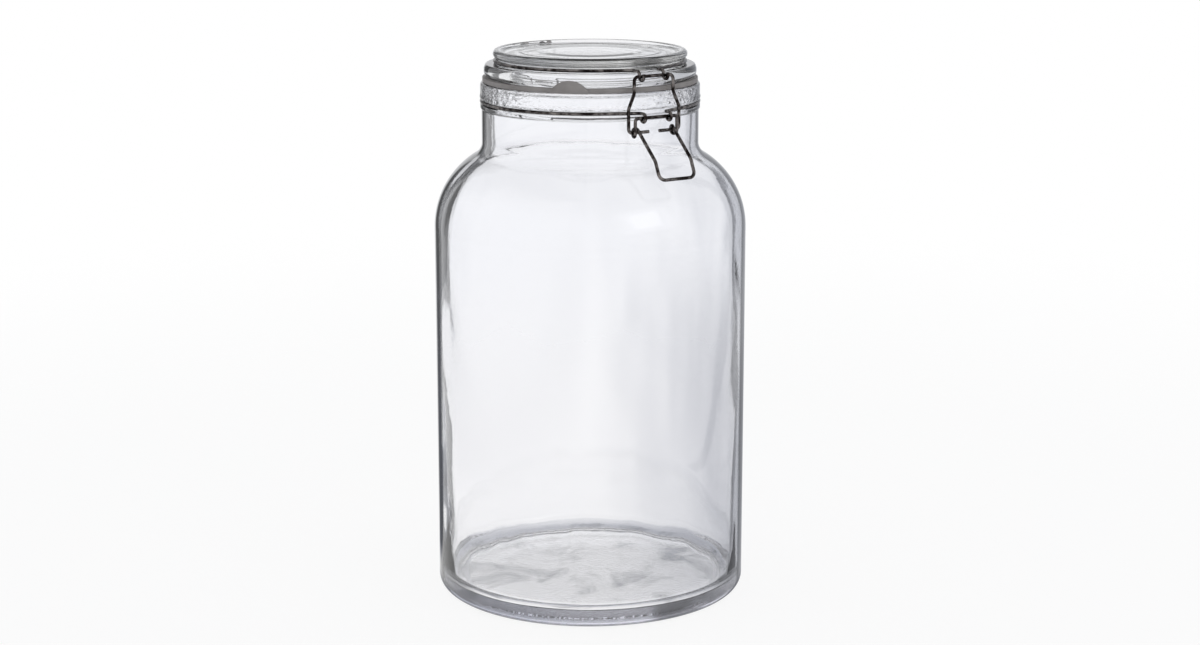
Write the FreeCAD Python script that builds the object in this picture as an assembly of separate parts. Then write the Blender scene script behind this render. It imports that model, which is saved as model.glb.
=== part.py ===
"""Clip-top glass storage jar, in millimetres.

The jar stands on its base with the origin at the centre of the bearing ring and +Z up.
The wire clip is at the front (-Y) and the lid's wire hinge at the back (+Y). The clip and
the hinge are the same on the left and the right, so each wire is drawn as a right half
and mirrored. The seal's pull tab is the one thing that stands to one side.
"""

import FreeCAD, Part
import math
import os

from FreeCAD import Vector

# ---- glass jar: body, shoulder and neck
BODY_RADIUS = 85.0
BODY_WALL = 3.8
STRAIGHT_HEIGHT = 203.5        # from the bearing ring to the start of the shoulder
SHOULDER_RADIUS = 46.0
HEEL_RADIUS = 7.0
BASE_THICKNESS = 5.0
PUSH_UP = 2.4                  # how far the middle of the base stands off the table
PUSH_UP_SLOPE = 5.0            # width of the sloping band inside the bearing ring
BEARING_RING_WIDTH = 3.5
NECK_RADIUS = 58.8
NECK_WALL = 4.4
NECK_HEIGHT = 23.2             # from the shoulder to the neck bead
NECK_FILLET = 4.0

# ---- glass jar: bead, wire groove and collar round the mouth
NECK_BEAD_STEP = 0.7
NECK_BEAD_HEIGHT = 2.9
COLLAR_STEP = 0.6
COLLAR_HEIGHT = 9.2
COLLAR_BEAD_STEP = 1.0
COLLAR_BEAD_HEIGHT = 2.6
COLLAR_EDGE_RADIUS = 1.6
MOUTH_STEP = 1.9               # how far the mouth is narrower than the neck's bore
MOUTH_STEP_HEIGHT = 6.0

# ---- wires and their clearances
WIRE = 1.8
GROOVE_GAP = 0.25              # above and below a wire in its groove
GROOVE_FLOOR_GAP = 0.15        # between a wire and the floor of its groove
LOOP_GAP = 0.3                 # between a wire and the loop round it
PART_GAP = 0.4                 # between a wire and what it passes

# ---- seal
SEAL_THICKNESS = 2.6
SEAL_INSET = 0.6               # inside the neck's radius
SEAL_PLUG_GAP = 0.1
TAB_ANGLE = -43.0              # round from the front, towards the left when negative
TAB_WIDTH = 20.0
TAB_RISE = 4.2                 # how far the turned-up tab stands above the seal
TAB_THICKNESS = 1.4

# ---- glass lid
FLANGE_INSET = 1.3             # inside the neck's radius
FLANGE_HEIGHT = 7.2
FLANGE_EDGE_RADIUS = 2.2
LID_GROOVE_DEPTH = 7.1         # from the flange's edge to the groove's floor
LID_GROOVE_HEIGHT = 2.7
LID_BEAD_HEIGHT = 4.9
LID_BEAD_INSET = 5.0           # from the flange's edge to the bead's edge
LID_BEAD_WIDTH = 6.0
LID_TOP_DIP = 1.5              # the top face lies this far below the bead
LID_DISC_RADIUS = 27.0
LID_DISC_STEP = 0.5
LID_PLATE = 6.5
PLUG_GAP = 0.9
PLUG_DEPTH = 6.2
PLUG_WALL = 7.4
PLUG_CHAMFER = 1.2

# ---- clip at the front
BEND = 1.8                     # usual bend radius of the wire's centre line
LEVER_STANDOFF = 4.5           # from the collar bead to the lever's cross wire
LEVER_ARM_SPACING = 26.0
LEVER_ARM_LENGTH = 7.65        # from the cross wire down to the eyes
LEVER_EYE_TURN = 310.0
HANDLE_UPPER_RUN = 20.0
HANDLE_KINK = 24.0
HANDLE_KINK_RADIUS = 6.0
HANDLE_LOWER_RUN = 5.5
HANDLE_CORNER = 3.5
BAIL_TOP_SPACING = 24.2
BAIL_LEG_SPACING = 31.4
BAIL_TOP_CORNER = 2.4
BAIL_UPPER_LEG = 8.6           # from the cross wire to the middle of the upper kink
BAIL_SPREAD_LENGTH = 8.0       # from the upper kink down to the lower one
BAIL_KINK_RADIUS = 4.0
BAIL_FOOT_CORNER = 2.2
BAIL_PIN_SPACING = 6.6         # between the ends of the two pins
NECK_HOOK_SPACING = 16.0
NECK_HOOK_WRAP = 250.0
NECK_HOOK_STEM = 2.2           # from the neck wire's circle out to the hook's bend
LID_HOOK_SPACING = 15.0
LID_HOOK_STEM = 2.4
CRADLE_DROP = 0.5              # straight part between the hook's shoulder and its cradle
CRADLE_LIP = 1.3               # straight part up the front of the cradle

# ---- hinge at the back
HINGE_STANDOFF = 1.5           # from the collar bead to the hinge pin
HINGE_LEG_SPACING = 24.0
HINGE_CORNER = 2.2
HINGE_COIL_SPACING = 11.0
HINGE_STEM = 2.4

# ---- heights worked out from the sizes above
SHOULDER_CENTRE = BODY_RADIUS - SHOULDER_RADIUS
SHOULDER_TOP = STRAIGHT_HEIGHT + math.sqrt(
    SHOULDER_RADIUS ** 2 - (NECK_RADIUS - SHOULDER_CENTRE) ** 2)
NECK_BEAD_BOTTOM = SHOULDER_TOP + NECK_HEIGHT
NECK_BEAD_TOP = NECK_BEAD_BOTTOM + NECK_BEAD_HEIGHT
NECK_WIRE_Z = NECK_BEAD_TOP + GROOVE_GAP + WIRE / 2
COLLAR_BOTTOM = NECK_WIRE_Z + WIRE / 2 + GROOVE_GAP
RIM_Z = COLLAR_BOTTOM + COLLAR_HEIGHT
FLANGE_BOTTOM = RIM_Z + SEAL_THICKNESS
FLANGE_TOP = FLANGE_BOTTOM + FLANGE_HEIGHT
LID_WIRE_Z = FLANGE_TOP + LID_GROOVE_HEIGHT / 2
LID_BEAD_BOTTOM = FLANGE_TOP + LID_GROOVE_HEIGHT
LID_TOP = LID_BEAD_BOTTOM + LID_BEAD_HEIGHT

# ---- radii worked out from the sizes above
COLLAR_RADIUS = NECK_RADIUS + COLLAR_STEP
COLLAR_BEAD_RADIUS = NECK_RADIUS + COLLAR_BEAD_STEP
NECK_WIRE_RADIUS = NECK_RADIUS
NECK_GROOVE_RADIUS = NECK_WIRE_RADIUS - WIRE / 2 - GROOVE_FLOOR_GAP
NECK_BORE = NECK_RADIUS - NECK_WALL
MOUTH_BORE = NECK_BORE - MOUTH_STEP
SEAL_RADIUS = NECK_RADIUS - SEAL_INSET
FLANGE_RADIUS = NECK_RADIUS - FLANGE_INSET
LID_GROOVE_RADIUS = FLANGE_RADIUS - LID_GROOVE_DEPTH
LID_WIRE_RADIUS = LID_GROOVE_RADIUS + WIRE / 2 + GROOVE_FLOOR_GAP
LID_BEAD_RADIUS = FLANGE_RADIUS - LID_BEAD_INSET
PLUG_RADIUS = MOUTH_BORE - PLUG_GAP

# ---- places of the clip's and the hinge's axes
LOOP_RADIUS = WIRE + LOOP_GAP            # centre line of a wire curled round another
LEVER_Y = -(COLLAR_BEAD_RADIUS + LEVER_STANDOFF)
LEVER_Z = NECK_WIRE_Z - LOOP_RADIUS
PIN_Y = LEVER_Y + LOOP_RADIUS
PIN_Z = LEVER_Z - LEVER_ARM_LENGTH
CRADLE_BACK_Y = -(FLANGE_RADIUS + PART_GAP + WIRE)
BAIL_Y = CRADLE_BACK_Y - LOOP_RADIUS
BAIL_Z = LID_WIRE_Z - BEND - CRADLE_DROP
HINGE_Y = COLLAR_BEAD_RADIUS + HINGE_STANDOFF
HINGE_Z = LID_WIRE_Z - LOOP_RADIUS

RIGHT = Vector(1, 0, 0)
LEFT = Vector(-1, 0, 0)
FRONT = Vector(0, -1, 0)
BACK = Vector(0, 1, 0)
UP = Vector(0, 0, 1)
DOWN = Vector(0, 0, -1)


class Profile:
    """Half section of a turned body, drawn as lines and arcs in the XZ plane."""

    def __init__(self, radius, height):
        self.start = Vector(radius, 0, height)
        self.point = self.start
        self.edges = []

    def line(self, radius, height):
        """Draw straight to a radius and a height."""
        end = Vector(radius, 0, height)
        self.edges.append(Part.LineSegment(self.point, end).toShape())
        self.point = end
        return self

    def arc(self, middle, end):
        """Draw an arc through one (radius, height) pair to another."""
        end = Vector(end[0], 0, end[1])
        self.edges.append(Part.Arc(self.point, Vector(middle[0], 0, middle[1]), end).toShape())
        self.point = end
        return self

    def round(self, centre, radius, start_degrees, end_degrees):
        """Draw an arc about a centre, going straight to its start first."""
        def place(degrees):
            angle = math.radians(degrees)
            return (centre[0] + radius * math.cos(angle), centre[1] + radius * math.sin(angle))
        first = place(start_degrees)
        if self.point.distanceToPoint(Vector(first[0], 0, first[1])) > 1e-6:
            self.line(*first)
        return self.arc(place((start_degrees + end_degrees) / 2), place(end_degrees))

    def turned(self):
        """Close the section and turn it about the vertical axis."""
        self.line(self.start.x, self.start.z)
        face = Part.Face(Part.Wire(self.edges))
        return face.revolve(Vector(0, 0, 0), UP, 360)


class WirePen:
    """Centre line of a bent wire, drawn as straight runs and tangent arcs."""

    def __init__(self, start, heading):
        self.start = Vector(start)
        self.first_heading = Vector(heading)
        self.point = Vector(start)
        self.heading = Vector(heading).normalize()
        self.edges = []

    def run(self, length):
        """Go straight on."""
        end = self.point + self.heading * length
        self.edges.append(Part.LineSegment(self.point, end).toShape())
        self.point = end
        return self

    def turn(self, radius, degrees, towards):
        """Bend through an angle, towards a direction."""
        side = towards - self.heading * towards.dot(self.heading)
        side.normalize()
        centre = self.point + side * radius
        heading = self.heading

        def place(angle):
            return centre - side * (radius * math.cos(angle)) + heading * (radius * math.sin(angle))
        angle = math.radians(degrees)
        end = place(angle)
        self.edges.append(Part.Arc(self.point, place(angle / 2), end).toShape())
        self.heading = heading * math.cos(angle) + side * math.sin(angle)
        self.point = end
        return self

    def mirrored_tube(self):
        """Sweep the wire along the line and join its mirror image on the left to it."""
        circle = Part.makeCircle(WIRE / 2, self.start, self.first_heading)
        half = Part.Wire(self.edges).makePipeShell([Part.Wire([circle])], True, False)
        return half.fuse(half.mirror(Vector(0, 0, 0), RIGHT)).removeSplitter()


def leave_circle(radius, side, distance):
    """Where a wire leaves its circle to reach a stem that points straight out.

    The stem is at the given distance to the side, and its bend is the given distance from
    the axis. Returns the angle of the leaving point from the stem's direction in degrees,
    and the length of the straight run from there to the bend's corner.
    """
    corner = math.hypot(side, distance)
    angle = math.degrees(math.atan2(side, distance) + math.acos(radius / corner))
    return angle, math.sqrt(corner ** 2 - radius ** 2)


def coil_tilt(turn_degrees, shift):
    """Tilt of a coil's two arcs, in degrees, that moves it sideways by the given shift."""
    travel = LOOP_RADIUS * (2 + 1 - math.cos(math.radians(turn_degrees - 180)))
    return math.degrees(math.asin(shift / travel))


def tilted(direction, sideways, tilt):
    """A direction leaned sideways by an angle in degrees."""
    angle = math.radians(tilt)
    return direction * math.cos(angle) + sideways * math.sin(angle)


def make_jar():
    """Glass jar: straight body, round shoulder, short neck and a collar with a wire groove."""
    ring_outer = BODY_RADIUS - HEEL_RADIUS
    ring_inner = ring_outer - BEARING_RING_WIDTH
    inner_radius = BODY_RADIUS - BODY_WALL
    inner_shoulder = SHOULDER_RADIUS - BODY_WALL
    floor = PUSH_UP + BASE_THICKNESS

    # The neck's fillet touches the shoulder's arc from outside and the neck's wall.
    fillet_x = NECK_RADIUS + NECK_FILLET
    reach = SHOULDER_RADIUS + NECK_FILLET
    fillet_z = STRAIGHT_HEIGHT + math.sqrt(reach ** 2 - (fillet_x - SHOULDER_CENTRE) ** 2)
    meet = math.degrees(math.atan2(fillet_z - STRAIGHT_HEIGHT, fillet_x - SHOULDER_CENTRE))
    inner_meet = math.degrees(math.acos((NECK_BORE - SHOULDER_CENTRE) / inner_shoulder))

    bead = NECK_BEAD_HEIGHT / 2
    collar_bead = COLLAR_BEAD_HEIGHT / 2
    section = Profile(0, PUSH_UP)
    section.line(ring_inner - PUSH_UP_SLOPE, PUSH_UP)
    section.line(ring_inner, 0)
    section.line(ring_outer, 0)
    section.round((ring_outer, HEEL_RADIUS), HEEL_RADIUS, -90, 0)
    section.line(BODY_RADIUS, STRAIGHT_HEIGHT)
    section.round((SHOULDER_CENTRE, STRAIGHT_HEIGHT), SHOULDER_RADIUS, 0, meet)
    section.round((fillet_x, fillet_z), NECK_FILLET, meet + 180, 180)
    section.line(NECK_RADIUS, NECK_BEAD_BOTTOM)
    section.arc((NECK_RADIUS + NECK_BEAD_STEP, NECK_BEAD_BOTTOM + bead), (NECK_RADIUS, NECK_BEAD_TOP))
    section.line(NECK_GROOVE_RADIUS, NECK_BEAD_TOP)
    section.line(NECK_GROOVE_RADIUS, COLLAR_BOTTOM)
    section.line(COLLAR_RADIUS, COLLAR_BOTTOM)
    section.arc((COLLAR_BEAD_RADIUS, COLLAR_BOTTOM + collar_bead),
                (COLLAR_RADIUS, COLLAR_BOTTOM + COLLAR_BEAD_HEIGHT))
    section.round((COLLAR_RADIUS - COLLAR_EDGE_RADIUS, RIM_Z - COLLAR_EDGE_RADIUS),
                  COLLAR_EDGE_RADIUS, 0, 90)
    section.line(MOUTH_BORE, RIM_Z)
    section.line(MOUTH_BORE, COLLAR_BOTTOM)
    section.line(NECK_BORE, COLLAR_BOTTOM - MOUTH_STEP_HEIGHT)
    section.round((SHOULDER_CENTRE, STRAIGHT_HEIGHT), inner_shoulder, inner_meet, 0)
    section.round((inner_radius - HEEL_RADIUS, floor + HEEL_RADIUS), HEEL_RADIUS, 0, -90)
    section.line(0, floor)
    return section.turned()


def make_lid():
    """Glass lid: rolled bead on top, wire groove, broad flange and a plug in the mouth."""
    bead_radius = LID_BEAD_HEIGHT / 2
    bead_x = LID_BEAD_RADIUS - bead_radius
    bead_z = LID_BEAD_BOTTOM + bead_radius
    top = LID_TOP - LID_TOP_DIP
    plug_bottom = FLANGE_BOTTOM - PLUG_DEPTH
    ceiling = top - LID_PLATE
    recess = PLUG_RADIUS - PLUG_WALL

    section = Profile(0, top + LID_DISC_STEP)
    section.line(LID_DISC_RADIUS, top + LID_DISC_STEP)
    section.line(LID_DISC_RADIUS + LID_DISC_STEP, top)
    section.line(LID_BEAD_RADIUS - LID_BEAD_WIDTH, top)
    section.line(bead_x, LID_TOP)
    section.round((bead_x, bead_z), bead_radius, 90, -90)
    section.line(LID_GROOVE_RADIUS, LID_BEAD_BOTTOM)
    section.line(LID_GROOVE_RADIUS, FLANGE_TOP)
    section.round((FLANGE_RADIUS - FLANGE_EDGE_RADIUS, FLANGE_TOP - FLANGE_EDGE_RADIUS),
                  FLANGE_EDGE_RADIUS, 90, 0)
    section.line(FLANGE_RADIUS, FLANGE_BOTTOM)
    section.line(PLUG_RADIUS, FLANGE_BOTTOM)
    section.line(PLUG_RADIUS, plug_bottom + PLUG_CHAMFER)
    section.line(PLUG_RADIUS - PLUG_CHAMFER, plug_bottom)
    section.line(recess, plug_bottom)
    section.line(recess - PLUG_CHAMFER, ceiling)
    section.line(0, ceiling)
    return section.turned()


def make_seal():
    """Flat rubber ring round the plug, with a pull tab turned up against the flange."""
    inner = PLUG_RADIUS + SEAL_PLUG_GAP
    ring = Part.makeCylinder(SEAL_RADIUS, SEAL_THICKNESS, Vector(0, 0, RIM_Z))
    ring = ring.cut(Part.makeCylinder(inner, SEAL_THICKNESS, Vector(0, 0, RIM_Z)))

    tab_inner = FLANGE_RADIUS + PART_GAP
    tab_height = SEAL_THICKNESS + TAB_RISE
    shell = Part.makeCylinder(tab_inner + TAB_THICKNESS, tab_height, Vector(0, 0, RIM_Z))
    shell = shell.cut(Part.makeCylinder(tab_inner, tab_height, Vector(0, 0, RIM_Z)))
    turn = math.radians(TAB_ANGLE)
    outward = Vector(math.sin(turn), -math.cos(turn), 0)
    across = Vector(math.cos(turn), math.sin(turn), 0)
    foot = Vector(0, 0, RIM_Z)
    side = UP * (SEAL_THICKNESS / 2)
    left = foot - across * (TAB_WIDTH / 2)
    right = foot + across * (TAB_WIDTH / 2)
    outline = Part.Wire([
        Part.LineSegment(left, right).toShape(),
        Part.LineSegment(right, right + side).toShape(),
        Part.Arc(right + side, foot + UP * tab_height, left + side).toShape(),
        Part.LineSegment(left + side, left).toShape(),
    ])
    prism = Part.Face(outline).extrude(outward * (2 * SEAL_RADIUS))
    return ring.fuse(shell.common(prism)).removeSplitter()


def make_neck_band():
    """Wire round the jar's neck: hinge pin at the back, a hook each side of the clip."""
    leg_x = HINGE_LEG_SPACING / 2
    back_angle, back_run = leave_circle(NECK_WIRE_RADIUS, leg_x, HINGE_Y)
    hook_x = NECK_HOOK_SPACING / 2
    corner_y = NECK_WIRE_RADIUS + NECK_HOOK_STEM
    front_angle, front_run = leave_circle(NECK_WIRE_RADIUS, hook_x, corner_y)
    hook_bend = 90 - front_angle
    setback = BEND * math.tan(math.radians(hook_bend / 2))
    outward = Vector(math.cos(math.radians(back_angle)), -math.sin(math.radians(back_angle)), 0)

    pen = WirePen(Vector(0, HINGE_Y, HINGE_Z), RIGHT)
    pen.run(leg_x - HINGE_CORNER)
    pen.turn(HINGE_CORNER, 90, DOWN)
    pen.run(HINGE_Z - HINGE_CORNER - NECK_WIRE_Z - BEND)
    pen.turn(BEND, 90, outward)
    pen.run(back_run - BEND)
    pen.turn(NECK_WIRE_RADIUS, 180 - back_angle - front_angle, Vector(0, 0, NECK_WIRE_Z) - pen.point)
    pen.run(front_run - setback)
    pen.turn(BEND, hook_bend, FRONT)
    pen.run(-LEVER_Y - corner_y - setback)
    pen.turn(LOOP_RADIUS, NECK_HOOK_WRAP, DOWN)
    return pen.mirrored_tube()


def make_lid_band():
    """Wire round the lid's groove: coils on the hinge pin, cradles for the bail in front."""
    coil_x = HINGE_COIL_SPACING / 2
    shift = WIRE + LOOP_GAP / 2
    tilt = coil_tilt(360, shift)
    stem_x = coil_x + shift
    back_corner = LID_WIRE_RADIUS + HINGE_STEM
    back_angle, back_run = leave_circle(LID_WIRE_RADIUS, stem_x, back_corner)
    back_bend = 90 - back_angle
    back_setback = BEND * math.tan(math.radians(back_bend / 2))
    hook_x = LID_HOOK_SPACING / 2
    front_corner = LID_WIRE_RADIUS + LID_HOOK_STEM
    front_angle, front_run = leave_circle(LID_WIRE_RADIUS, hook_x, front_corner)
    front_bend = 90 - front_angle
    front_setback = BEND * math.tan(math.radians(front_bend / 2))

    pen = WirePen(Vector(0, HINGE_Y + LOOP_RADIUS, HINGE_Z - BEND), RIGHT)
    pen.run(coil_x - BEND)
    pen.turn(BEND, 90, UP)
    pen.turn(LOOP_RADIUS, 90, FRONT)
    pen.turn(LOOP_RADIUS, 180, tilted(DOWN, RIGHT, tilt))
    pen.turn(LOOP_RADIUS, 180, tilted(UP, RIGHT, tilt))
    pen.run(HINGE_Y - back_corner - back_setback)
    pen.turn(BEND, back_bend, RIGHT)
    pen.run(back_run - back_setback)
    pen.turn(LID_WIRE_RADIUS, 180 - back_angle - front_angle, Vector(0, 0, LID_WIRE_Z) - pen.point)
    pen.run(front_run - front_setback)
    pen.turn(BEND, front_bend, FRONT)
    pen.run(-CRADLE_BACK_Y - BEND - front_corner - front_setback)
    pen.turn(BEND, 90, DOWN)
    pen.run(CRADLE_DROP)
    pen.turn(LOOP_RADIUS, 180, FRONT)
    pen.run(CRADLE_LIP)
    return pen.mirrored_tube()


def make_lever():
    """Closing lever: cross wire in the neck hooks, an eye in each arm and a bent handle."""
    arm_x = LEVER_ARM_SPACING / 2
    tilt = coil_tilt(LEVER_EYE_TURN, WIRE + LOOP_GAP / 2)

    pen = WirePen(Vector(0, LEVER_Y, LEVER_Z), RIGHT)
    pen.run(arm_x - BEND)
    pen.turn(BEND, 90, DOWN)
    pen.run(LEVER_ARM_LENGTH - BEND)
    pen.turn(LOOP_RADIUS, 180, tilted(BACK, LEFT, tilt))
    pen.turn(LOOP_RADIUS, LEVER_EYE_TURN - 180, tilted(FRONT, LEFT, tilt))
    pen.turn(2 * BEND, math.degrees(math.asin(-pen.heading.x)), RIGHT)
    pen.run(HANDLE_UPPER_RUN)
    pen.turn(HANDLE_KINK_RADIUS, HANDLE_KINK, DOWN)
    pen.run(HANDLE_LOWER_RUN)
    pen.turn(HANDLE_CORNER, 90, LEFT)
    pen.run(pen.point.x)
    return pen.mirrored_tube()


def make_bail():
    """Bail: cross wire in the lid's cradles, kinked legs and a pin through each eye."""
    down_leg = Vector(0, PIN_Y - BAIL_Y, PIN_Z - BAIL_Z)
    length = down_leg.Length
    down_leg.normalize()
    spread = (BAIL_LEG_SPACING - BAIL_TOP_SPACING) / 2
    kink = math.degrees(math.atan2(spread, BAIL_SPREAD_LENGTH))
    setback = BAIL_KINK_RADIUS * math.tan(math.radians(kink / 2))
    lower_leg = length - BAIL_UPPER_LEG - BAIL_SPREAD_LENGTH

    pen = WirePen(Vector(0, BAIL_Y, BAIL_Z), RIGHT)
    pen.run(BAIL_TOP_SPACING / 2 - BAIL_TOP_CORNER)
    pen.turn(BAIL_TOP_CORNER, 90, down_leg)
    pen.run(BAIL_UPPER_LEG - BAIL_TOP_CORNER - setback)
    pen.turn(BAIL_KINK_RADIUS, kink, RIGHT)
    pen.run(math.hypot(spread, BAIL_SPREAD_LENGTH) - 2 * setback)
    pen.turn(BAIL_KINK_RADIUS, kink, down_leg)
    pen.run(lower_leg - setback - BAIL_FOOT_CORNER)
    pen.turn(BAIL_FOOT_CORNER, 90, LEFT)
    pen.run(pen.point.x - BAIL_PIN_SPACING / 2)
    return pen.mirrored_tube()


PARTS = {
    "glass_jar": make_jar,
    "neck_band": make_neck_band,
    "glass_lid": make_lid,
    "seal": make_seal,
    "lid_band": make_lid_band,
    "lever": make_lever,
    "bail": make_bail,
}


def main():
    """Write one STEP file for each piece and print its size."""
    os.makedirs("parts", exist_ok=True)
    for name, make in PARTS.items():
        shape = make()
        shape.exportStep(f"parts/{name}.step")
        box = shape.BoundBox
        print(f"{name}: {len(shape.Solids)} solid, {shape.Volume / 1000:.2f} cm3, valid {shape.isValid()}, "
              f"x {box.XMin:.1f}..{box.XMax:.1f}, y {box.YMin:.1f}..{box.YMax:.1f}, "
              f"z {box.ZMin:.1f}..{box.ZMax:.1f}")
    print(f"hinge y {HINGE_Y:.2f} z {HINGE_Z:.2f}, lever y {LEVER_Y:.2f} z {LEVER_Z:.2f}, "
          f"pin y {PIN_Y:.2f} z {PIN_Z:.2f}, lid top {LID_TOP:.2f}")


main()
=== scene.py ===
"""Looks of the clip-top glass storage jar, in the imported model's own frame.

The blown jar and the pressed lid are turned from their half sections. The seal and the
wires are smooth copies of their solids. Lengths are in metres, unless a name ends in _mm or
a class says that its sizes are millimetres.
"""

import logging
import math
from dataclasses import dataclass, field
from enum import Enum

import bpy
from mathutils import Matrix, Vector


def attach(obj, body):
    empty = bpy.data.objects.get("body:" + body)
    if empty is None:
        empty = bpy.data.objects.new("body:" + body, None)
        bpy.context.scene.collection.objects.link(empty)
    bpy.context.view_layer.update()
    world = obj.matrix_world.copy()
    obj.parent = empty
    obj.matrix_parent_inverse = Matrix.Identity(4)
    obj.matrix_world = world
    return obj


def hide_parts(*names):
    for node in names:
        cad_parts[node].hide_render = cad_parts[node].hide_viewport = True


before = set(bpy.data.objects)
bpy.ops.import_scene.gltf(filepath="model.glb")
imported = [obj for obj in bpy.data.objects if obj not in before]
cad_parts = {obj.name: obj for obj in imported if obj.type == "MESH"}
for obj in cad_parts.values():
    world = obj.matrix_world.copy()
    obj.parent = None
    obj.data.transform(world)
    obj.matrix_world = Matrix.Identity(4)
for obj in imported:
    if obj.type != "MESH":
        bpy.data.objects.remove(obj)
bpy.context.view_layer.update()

MM = 0.001
MERGE_DISTANCE = 1e-6
FILLET_STEPS = 6
FILLET_REACH = 0.48  # the most of a straight run that a fillet may use up
LOG = logging.getLogger("storage jar")

Tree = bpy.types.NodeTree
Socket = bpy.types.NodeSocket
Pair = tuple[float, float]
Triple = tuple[float, float, float]
Colour = tuple[float, float, float, float]
Stops = tuple[float, ...]

WHITE: Colour = (1.0, 1.0, 1.0, 1.0)


def linear(code: str) -> Colour:
    """Turn an sRGB hex value into the linear colour that a shader takes.

    Args:
        code: Six hex digits, without a sign in front.

    Returns:
        Red, green, blue and an alpha of 1.
    """
    parts = [int(code[i:i + 2], 16) / 255 for i in (0, 2, 4)]
    lin = [p / 12.92 if p <= 0.04045 else ((p + 0.055) / 1.055) ** 2.4 for p in parts]
    return (lin[0], lin[1], lin[2], 1.0)


def grey(level: float) -> Colour:
    """Return a neutral colour of the given linear level."""
    return (level, level, level, 1.0)


# ---------------------------------------------------------------- nodes

def add_node(tree: Tree, kind: str, inputs: dict | None = None,
             **settings: object) -> bpy.types.Node:
    """Add one node, with its settings, its numbers and its links.

    Args:
        tree: The node tree that gets the node.
        kind: The node's class name.
        inputs: A number, a colour or another node's output for each input, by name or place.
        **settings: The node's own properties.

    Returns:
        The new node.
    """
    node = tree.nodes.new(kind)
    for name, value in settings.items():
        setattr(node, name, value)
    for name, value in (inputs or {}).items():
        if isinstance(value, bpy.types.NodeSocket):
            tree.links.new(value, node.inputs[name])
        else:
            node.inputs[name].default_value = value
    return node


def product(tree: Tree, one: Socket, other: Socket | float) -> Socket:
    """Multiply two values."""
    return add_node(tree, "ShaderNodeMath", {0: one, 1: other}, operation="MULTIPLY").outputs[0]


def larger(tree: Tree, one: Socket, other: Socket) -> Socket:
    """Take the larger of two values."""
    return add_node(tree, "ShaderNodeMath", {0: one, 1: other}, operation="MAXIMUM").outputs[0]


def dot(tree: Tree, one: Socket, other: Socket | Triple) -> Socket:
    """Take the dot product of two vectors."""
    return add_node(tree, "ShaderNodeVectorMath", {0: one, 1: other},
                    operation="DOT_PRODUCT").outputs["Value"]


def flat(tree: Tree, vector: Socket) -> Socket:
    """Take the upright part out of a vector."""
    return add_node(tree, "ShaderNodeVectorMath", {0: vector, 1: (1.0, 1.0, 0.0)},
                    operation="MULTIPLY").outputs[0]


def height_of(tree: Tree, vector: Socket) -> Socket:
    """Take the upright part of a vector."""
    return add_node(tree, "ShaderNodeSeparateXYZ", {"Vector": vector}).outputs["Z"]


def stretched(tree: Tree, place: Socket, stretch: Triple) -> Socket:
    """Scale a place, which draws a pattern out along the axes with a small factor."""
    return add_node(tree, "ShaderNodeMapping", {"Vector": place, "Scale": stretch}).outputs[0]


def remap(tree: Tree, value: Socket, span: Pair = (0.0, 1.0), to: tuple = (0.0, 1.0),
          soft: bool = False) -> Socket:
    """Turn one range of values into another and hold it at both ends.

    Args:
        tree: The node tree that gets the node.
        value: The value.
        span: Where the range starts and ends.
        to: What those two ends become.
        soft: Whether the ends are eased.

    Returns:
        The new value.
    """
    return add_node(tree, "ShaderNodeMapRange", {
        "Value": value, "From Min": span[0], "From Max": span[1],
        "To Min": to[0], "To Max": to[1]},
        interpolation_type="SMOOTHSTEP" if soft else "LINEAR").outputs[0]


def noise(tree: Tree, place: Socket, size_mm: float, detail: float = 2.0,
          roughness: float = 0.5, distortion: float = 0.0) -> Socket:
    """Add an uneven pattern.

    Args:
        tree: The node tree that gets the node.
        place: The place on the piece.
        size_mm: How large the pattern's patches are.
        detail: How many finer layers it has.
        roughness: How strong those layers are.
        distortion: How far it is swirled.

    Returns:
        A value round 0.5.
    """
    return add_node(tree, "ShaderNodeTexNoise", {
        "Vector": place, "Scale": 1000 / size_mm, "Detail": detail, "Roughness": roughness,
        "Distortion": distortion}).outputs["Fac"]


def bump(tree: Tree, height: Socket, distance: Socket | float, strength: float = 1.0,
         below: Socket | None = None) -> Socket:
    """Raise a surface by a pattern.

    Args:
        tree: The node tree that gets the node.
        height: The pattern.
        distance: How high it stands.
        strength: How much of it counts.
        below: The bump that this one is laid on, if any.

    Returns:
        The new normal.
    """
    inputs = {"Height": height, "Strength": strength, "Distance": distance}
    if below is not None:
        inputs["Normal"] = below
    return add_node(tree, "ShaderNodeBump", inputs).outputs[0]


def mixed(tree: Tree, factor: Socket, one: Socket | Colour, other: Socket | Colour) -> Socket:
    """Mix two colours.

    Args:
        tree: The node tree that gets the node.
        factor: 0 for the first colour, 1 for the second.
        one: The first colour.
        other: The second colour.

    Returns:
        The mixed colour.
    """
    return add_node(tree, "ShaderNodeMix", {"Factor": factor, 6: one, 7: other},
                    data_type="RGBA").outputs[2]


def ramp(tree: Tree, value: Socket, stops: list[tuple[float, Colour]],
         interpolation: str = "LINEAR") -> Socket:
    """Turn a value into a colour by a ramp.

    Args:
        tree: The node tree that gets the node.
        value: The value.
        stops: Place and colour of each stop, in rising order.
        interpolation: How the ramp runs between its stops.

    Returns:
        The colour.
    """
    node = add_node(tree, "ShaderNodeValToRGB", {"Fac": value})
    band = node.color_ramp
    band.interpolation = interpolation
    while len(band.elements) < len(stops):
        band.elements.new(1.0)
    for element, (place, colour) in zip(band.elements, stops):
        element.position = place
        element.color = colour
    return node.outputs["Color"]


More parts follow.
